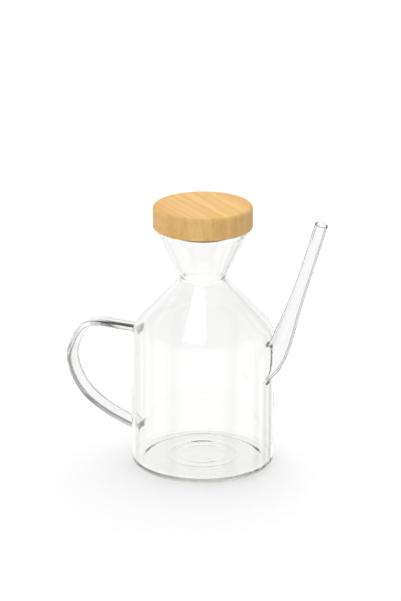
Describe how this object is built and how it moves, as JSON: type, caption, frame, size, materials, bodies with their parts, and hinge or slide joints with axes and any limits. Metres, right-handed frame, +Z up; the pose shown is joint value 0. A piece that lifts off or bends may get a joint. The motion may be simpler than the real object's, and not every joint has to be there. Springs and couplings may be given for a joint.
{
  "type": "oil and vinegar bottle",
  "caption": "Clear glass oil and vinegar bottle with a strap handle, a long spout, a funnel mouth and a seated bamboo lid with a silicone seal.",
  "frame": {"origin": "centre of the bottle's flat foot, on its axis, on the surface it stands on", "axes": "+Z up along the bottle's axis, +X towards the spout, -X towards the handle"},
  "size_m": [0.1774, 0.09, 0.168],
  "materials": {
    "clear_glass": "clear, fire-polished, faint green-grey edges",
    "bamboo": "satin, straight fine grain",
    "silicone": "soft, milky and slightly see-through"
  },
  "bodies": {
    "root": {"glass_vessel": "clear_glass", "bamboo_lid": "bamboo", "silicone_seal": "silicone"}
  },
  "joints": []
}
